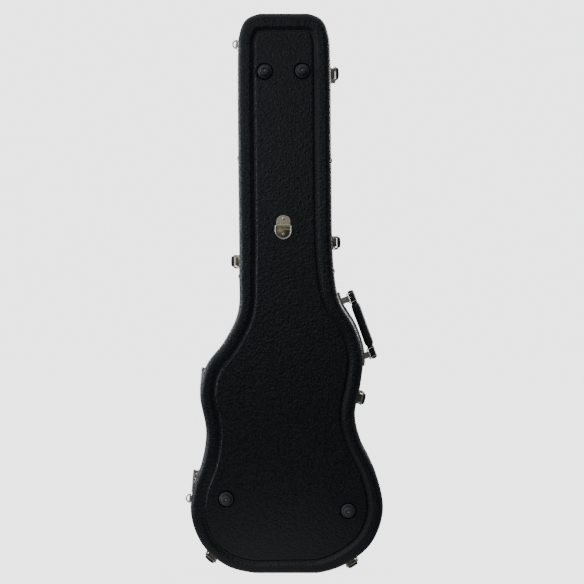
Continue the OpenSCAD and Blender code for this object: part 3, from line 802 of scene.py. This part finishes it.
# ---------------------------------------------------------------- CAD nodes that keep their shape
ROLLED, THIN_EDGE = 0.25, 0.2  # bevel widths, and 0 for none
KEPT = [(f"latch_lever_{k}", NICKEL, ROLLED) for k in range(1, 7)] + [
    ("latch_bases", BRASSY, ROLLED), ("latch_catches", NICKEL, ROLLED), ("latch_pivots", STEEL, ROLLED),
    ("handle_plate", NICKEL, 0.3),
    ("side_bracket_head", NICKEL, ROLLED), ("side_bracket_body", NICKEL, ROLLED),
    ("side_ring_head", BRIGHT, 0), ("side_ring_body", BRIGHT, 0),
    ("hinge_back_leaf_upper", NICKEL, ROLLED), ("hinge_back_leaf_lower", NICKEL, ROLLED),
    ("hinge_lid_leaf_upper", NICKEL, ROLLED), ("hinge_lid_leaf_lower", NICKEL, ROLLED),
    ("hinge_pin_upper", STEEL, THIN_EDGE), ("hinge_pin_lower", STEEL, THIN_EDGE), ("side_plugs", BLACK, 0),
    ("case_rivets", BRIGHT, 0), ("lid_rivets", BRIGHT, 0), ("compartment_hinge_pin", STEEL, 0)]
for n, mat, width in KEPT:
    o = NODES[n]
    o.data.materials.clear()
    o.data.materials.append(mat)
    for f in o.data.polygons:
        f.use_smooth = True
    if width:
        bevelled(o, width)
    else:
        o.modifiers.new("normals", "WEIGHTED_NORMAL").keep_sharp = False

# ---------------------------------------------------------------- plush linings
AROUND = ["back_shell", "lid_shell", "body_lining", "head_lining", "neck_cradle", "lid_lining",
          "compartment_box", "compartment_lid", "compartment_hinge_pin"]
CLOTH_FRAMES, PRESSURE = 20, 4
LUMP_SCALE, LUMP_H = 24, 0.6


def surroundings(skip):
    """The solids that a lining may touch, as one tree to measure distances to."""
    verts, faces = [], []
    for n in AROUND:
        if n == skip:
            continue
        me, base = NODES[n].data, len(verts)
        verts += [v.co.copy() for v in me.vertices]
        faces += [[base + i for i in p.vertices] for p in me.polygons]
    return BVHTree.FromPolygons(verts, faces)


def pad_blank(name, node, voxel, near, passes, shrink):
    """The lining's own solid as an even skin; what touches something stays put.

    Near is how close something has to be to count, and shrink leaves room for the swelling.
    """
    o = bpy.data.objects.new(name, NODES[node].data.copy())
    bpy.context.scene.collection.objects.link(o)
    r = o.modifiers.new("remesh", "REMESH")
    r.mode, r.voxel_size = "VOXEL", voxel * MM
    dg = bpy.context.evaluated_depsgraph_get()
    me = bpy.data.meshes.new_from_object(o.evaluated_get(dg))
    o.modifiers.clear()
    o.data = me
    tree = surroundings(node)
    n = len(me.vertices)
    co = np.empty(n * 3)
    me.vertices.foreach_get("co", co)
    co = co.reshape(-1, 3)
    free = np.array([tree.find_nearest(Vector(c), near * MM)[0] is None for c in co])
    edges = np.empty(len(me.edges) * 2, int)
    me.edges.foreach_get("vertices", edges)
    edges = edges.reshape(-1, 2)
    count = np.bincount(edges.ravel(), minlength=n).astype(float)[:, None]
    for _ in range(passes):
        mean = np.zeros((n, 3))
        np.add.at(mean, edges[:, 0], co[edges[:, 1]])
        np.add.at(mean, edges[:, 1], co[edges[:, 0]])
        mean /= np.maximum(count, 1)
        co = np.where(free[:, None], 0.5 * co + 0.5 * mean, co)
    me.vertices.foreach_set("co", co.ravel())
    me.update()
    if shrink:
        nor = np.empty(n * 3)
        me.vertex_normals.foreach_get("vector", nor)
        co = co - nor.reshape(-1, 3) * shrink * MM * free[:, None]
        me.vertices.foreach_set("co", co.ravel())
        me.update()
    g = o.vertex_groups.new(name="held")
    g.add([int(i) for i in np.nonzero(~free)[0]], 1.0, "REPLACE")
    return o, co, free


def swell(pads, cap):
    """Air pressure in cloth skins for some frames; no point moves further than the cap."""
    for o, _, _ in pads:
        c = o.modifiers.new("cloth", "CLOTH")
        c.settings.use_pressure = True
        c.settings.uniform_pressure_force = PRESSURE
        c.settings.vertex_group_mass = "held"
        c.settings.quality = 4
        c.settings.effector_weights.gravity = 0
        c.collision_settings.use_collision = False
        c.point_cache.frame_start, c.point_cache.frame_end = 1, CLOTH_FRAMES
    for f in range(1, CLOTH_FRAMES + 1):
        bpy.context.scene.frame_set(f)
    dg = bpy.context.evaluated_depsgraph_get()
    for o, co, free in pads:
        me = bpy.data.meshes.new_from_object(o.evaluated_get(dg))
        new = np.empty(len(me.vertices) * 3)
        me.vertices.foreach_get("co", new)
        d = new.reshape(-1, 3) - co
        far = np.linalg.norm(d, axis=1, keepdims=True)
        d *= np.minimum(1, cap * MM / np.maximum(far, 1e-9))
        o.modifiers.clear()
        o.data = me
        me.vertices.foreach_set("co", (co + np.where(free[:, None], d, 0)).ravel())
        me.update()
    bpy.context.scene.frame_set(1)
    for o, _, free in pads:
        n = len(o.data.vertices)
        co, nor = np.empty(n * 3), np.empty(n * 3)
        o.data.vertices.foreach_get("co", co)
        o.data.vertex_normals.foreach_get("vector", nor)
        co, nor = co.reshape(-1, 3), nor.reshape(-1, 3)
        lump = np.array([noise.noise(Vector(c) * LUMP_SCALE) if loose else 0.0 for c, loose in zip(co, free)])
        o.data.vertices.foreach_set("co", (co + nor * lump[:, None] * LUMP_H * MM).ravel())
        o.data.update()


def upholster(o, node, body, mat, soft):
    """Plush on a lining, with its body and the node that it stands for."""
    o.vertex_groups.clear()
    o.data.materials.clear()
    o.data.materials.append(mat)
    for f in o.data.polygons:
        f.use_smooth, f.material_index = True, 0
    if soft:
        sub = o.modifiers.new("soft", "SUBSURF")
        sub.levels = sub.render_levels = 1
    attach(o, body)
    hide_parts(node)


# Body, then what pad_blank() asks for: name, node, voxel, near, passes, shrink
PADS = [("case", "plush_body", "body_lining", 4.5, 3.2, 3, 1.4),
        ("case", "plush_head", "head_lining", 4.5, 3.2, 3, 1.4),
        ("case", "plush_cradle", "neck_cradle", 4.0, 3.2, 3, 1.4),
        ("lid", "plush_lid", "lid_lining", 5.0, 2.4, 2, 1.0)]
THIN = [("case", "plush_box", "compartment_box", 2.4, 0.9, 2, 0),
        ("compartment_flap", "plush_flap", "compartment_lid", 1.3, 0.9, 2, 0)]
pads = [pad_blank(*row[1:]) for row in PADS]
swell(pads, 3.0)
thin = [pad_blank(*row[1:]) for row in THIN]
for (o, _, _), row in zip(pads, PADS):
    upholster(o, row[2], row[0], PLUSH, True)
for (o, _, _), row in zip(thin, THIN):
    upholster(o, row[2], row[0], BOXPLUSH, False)


def pull_tab():
    """A ribbon sewn to the flap and folded back over itself."""
    lo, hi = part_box("compartment_tab")
    cx, y, z0, z1 = (lo.x + hi.x) / 2 / MM, lo.y / MM, lo.z / MM, hi.z / MM
    path = [(0.05, z1), (0.05, z1 - 5), (0.2, z1 - 11), (0.5, z0 + 6), (0.45, z0 + 1.2), (0.6, z0),
            (0.9, z0 + 1.2), (1.15, z0 + 6), (0.95, z1 - 11), (0.62, z1 - 5), (0.6, z1)]
    path = [(y + off, z) for off, z in path]
    half, edge, thick = 9, 8.5, 0.22
    rings = []
    for i, (py, pz) in enumerate(path):
        a, b = path[max(0, i - 1)], path[min(len(path) - 1, i + 1)]
        t = Vector((b[0] - a[0], b[1] - a[1])).normalized()
        ny, nz = -t.y * thick, t.x * thick
        frayed = 0.3 * 0.25 * math.sin(i * 1.7)
        xs = (cx - half + frayed, cx - edge, cx, cx + edge, cx + half + frayed)
        rings.append([Vector((x, py - ny, pz - nz)) * MM for x in xs]
                     + [Vector((x, py + ny, pz + nz)) * MM for x in reversed(xs)])
    bm = bmesh.new()
    rings_to_faces(bm, rings, cap_first=True, cap_last=True)
    make("ribbon_tab", bm, RIBBON, "compartment_flap", ("compartment_tab",), smooth=50)


pull_tab()

# ---------------------------------------------------------------- stage, light and camera
def plane(name, pts, mat):
    """A flat piece of the stage."""
    bm = bmesh.new()
    bm.faces.new([bm.verts.new(p) for p in pts])
    me = bpy.data.meshes.new(name)
    bm.to_mesh(me)
    bm.free()
    o = bpy.data.objects.new(name, me)
    bpy.context.scene.collection.objects.link(o)
    me.materials.append(mat)
    return o


def light(name, energy, size, loc, aim, color):
    """A rectangular light, size wide and high, aimed at a point."""
    d = bpy.data.lights.new(name, "AREA")
    d.energy, d.color, d.shape = energy, color, "RECTANGLE"
    d.size, d.size_y = size
    o = bpy.data.objects.new(name, d)
    bpy.context.scene.collection.objects.link(o)
    o.location = loc
    o.rotation_euler = (Vector(aim) - Vector(loc)).to_track_quat("-Z", "Y").to_euler()


def seen_bright(tree, plain, bright, out):
    """The camera sees the bright shader, and the object is lit by the plain one."""
    path = tree.nodes.new("ShaderNodeLightPath")
    mix = tree.nodes.new("ShaderNodeMixShader")
    tree.links.new(path.outputs["Is Camera Ray"], mix.inputs[0])
    tree.links.new(plain, mix.inputs[1])
    tree.links.new(bright, mix.inputs[2])
    tree.links.new(mix.outputs[0], out.inputs["Surface"])


def floor_paper():
    """Pale paper: bright to the camera, and for the object's reflections lit only near the case, where it
    glows as painted light.
    """
    m = Nodes("floor_paper")
    paper = m.ramp(m.noise(3, 2, 0.5), [(0.3, (0.16, 0.16, 0.16)), (0.7, (0.18, 0.18, 0.18))])
    m.out(paper, 0.9, Specular_IOR_Level=0.1)

    def with_glow(glow):
        add = m.new("ShaderNodeAddShader")
        m.link(glow.outputs[0], add.inputs[0])
        m.link(m.b.outputs[0], add.inputs[1])
        return add.outputs[0]
    bright = with_glow(m.new("ShaderNodeEmission", Strength=3.1))
    # the floor close to the case glows, a painted patch of light that is the brightest thing the case's lower
    # edge reflects
    near = m.new("ShaderNodeVectorMath", operation="DISTANCE")
    m.link(m.co, near.inputs[0])
    near.inputs[1].default_value = (-0.05, -0.2, 0)
    painted_light_pool = m.new("ShaderNodeEmission")
    m.link(m.grey(near.outputs["Value"], 0.5, 0.0, 0.0, 0.34), painted_light_pool.inputs["Strength"])
    seen_bright(m.t, with_glow(painted_light_pool), bright, m.t.nodes["Material Output"])
    return m.mat


# How bright the room is, from low on the right in front to high on the left behind
SKY = [(0.2, 0.02), (0.45, 0.03), (0.56, 0.07), (0.66, 0.20), (0.8, 0.42), (1.0, 0.6)]
SKY_TINT = (0.86, 0.94, 1.0)
SKY_LEAN, SKY_LIFT = (-0.35, 0.35, 0.5), 0.85
BACKGROUND = 3.2


def studio():
    """The world: white to the camera, and for the object the room's gradient."""
    world = bpy.data.worlds.new("studio")
    bpy.context.scene.world = world
    world.use_nodes = True
    t = world.node_tree
    dim = t.nodes["Background"]
    co = t.nodes.new("ShaderNodeTexCoord")
    lean = t.nodes.new("ShaderNodeVectorMath")
    lean.operation = "DOT_PRODUCT"
    lean.inputs[1].default_value = SKY_LEAN
    t.links.new(co.outputs["Generated"], lean.inputs[0])
    lift = t.nodes.new("ShaderNodeMath")
    lift.operation = "ADD"
    lift.inputs[1].default_value = SKY_LIFT
    t.links.new(lean.outputs["Value"], lift.inputs[0])
    sky = t.nodes.new("ShaderNodeValToRGB")
    stops = sky.color_ramp.elements
    stops[0].position, stops[1].position = 0.0, 1.0
    for k, (pos, v) in enumerate(SKY):
        e = stops[0] if k == 0 else stops[-1] if k == len(SKY) - 1 else stops.new(pos)
        e.position, e.color = pos, (*(v * c for c in SKY_TINT), 1)
    t.links.new(lift.outputs[0], sky.inputs[0])
    t.links.new(sky.outputs[0], dim.inputs[0])
    dim.inputs[1].default_value = 1.0
    lit = t.nodes.new("ShaderNodeBackground")
    lit.inputs[0].default_value = (1, 1, 1, 1)
    lit.inputs[1].default_value = BACKGROUND
    seen_bright(t, dim.outputs[0], lit.outputs[0], t.nodes["World Output"])


plane("floor", [(-6, -6, 0), (6, -6, 0), (6, 6, 0), (-6, 6, 0)], floor_paper())
studio()
light("window", 2.7, (0.9, 0.8), (-0.55, -2.5, 1.15), (0, 0, 0.8), (0.88, 0.95, 1))
light("side", 16, (0.9, 1.6), (-2.2, -0.30, 0.6), (-0.1, 0, 0.5), (0.84, 0.93, 1))
light("far", 1.0, (0.6, 1.2), (2.0, -0.9, 0.9), (0.1, 0, 0.6), (1, 0.98, 0.95))
# two lights behind the case, for the lid and for the inside when it is open
light("lid_left", 40, (1.2, 1.2), (2.4, 1.9, 1.7), (0, 0.1, 0.6), (1, 0.99, 0.97))
light("lid_right", 24, (1.0, 1.2), (-2.5, 2.1, 1.3), (0, 0.1, 0.5), (0.95, 0.98, 1))

cam_data = bpy.data.cameras.new("camera")
cam = bpy.data.objects.new("camera", cam_data)
bpy.context.scene.collection.objects.link(cam)
bpy.context.scene.camera = cam
DIST = 1.9  # from the camera to the back face
SHOWN, SHOWN_AT = 1.09792, 0.012  # the width that the picture takes in, and how far behind the back face
SENSOR = 36
cam.location = (0.011, BACK_Y * MM - DIST, 0.528)
cam.rotation_euler = (math.radians(90), 0, 0)
cam_data.sensor_width = SENSOR
cam_data.lens = SENSOR * (DIST + SHOWN_AT) / SHOWN
cam_data.clip_start, cam_data.clip_end = 0.05, 30
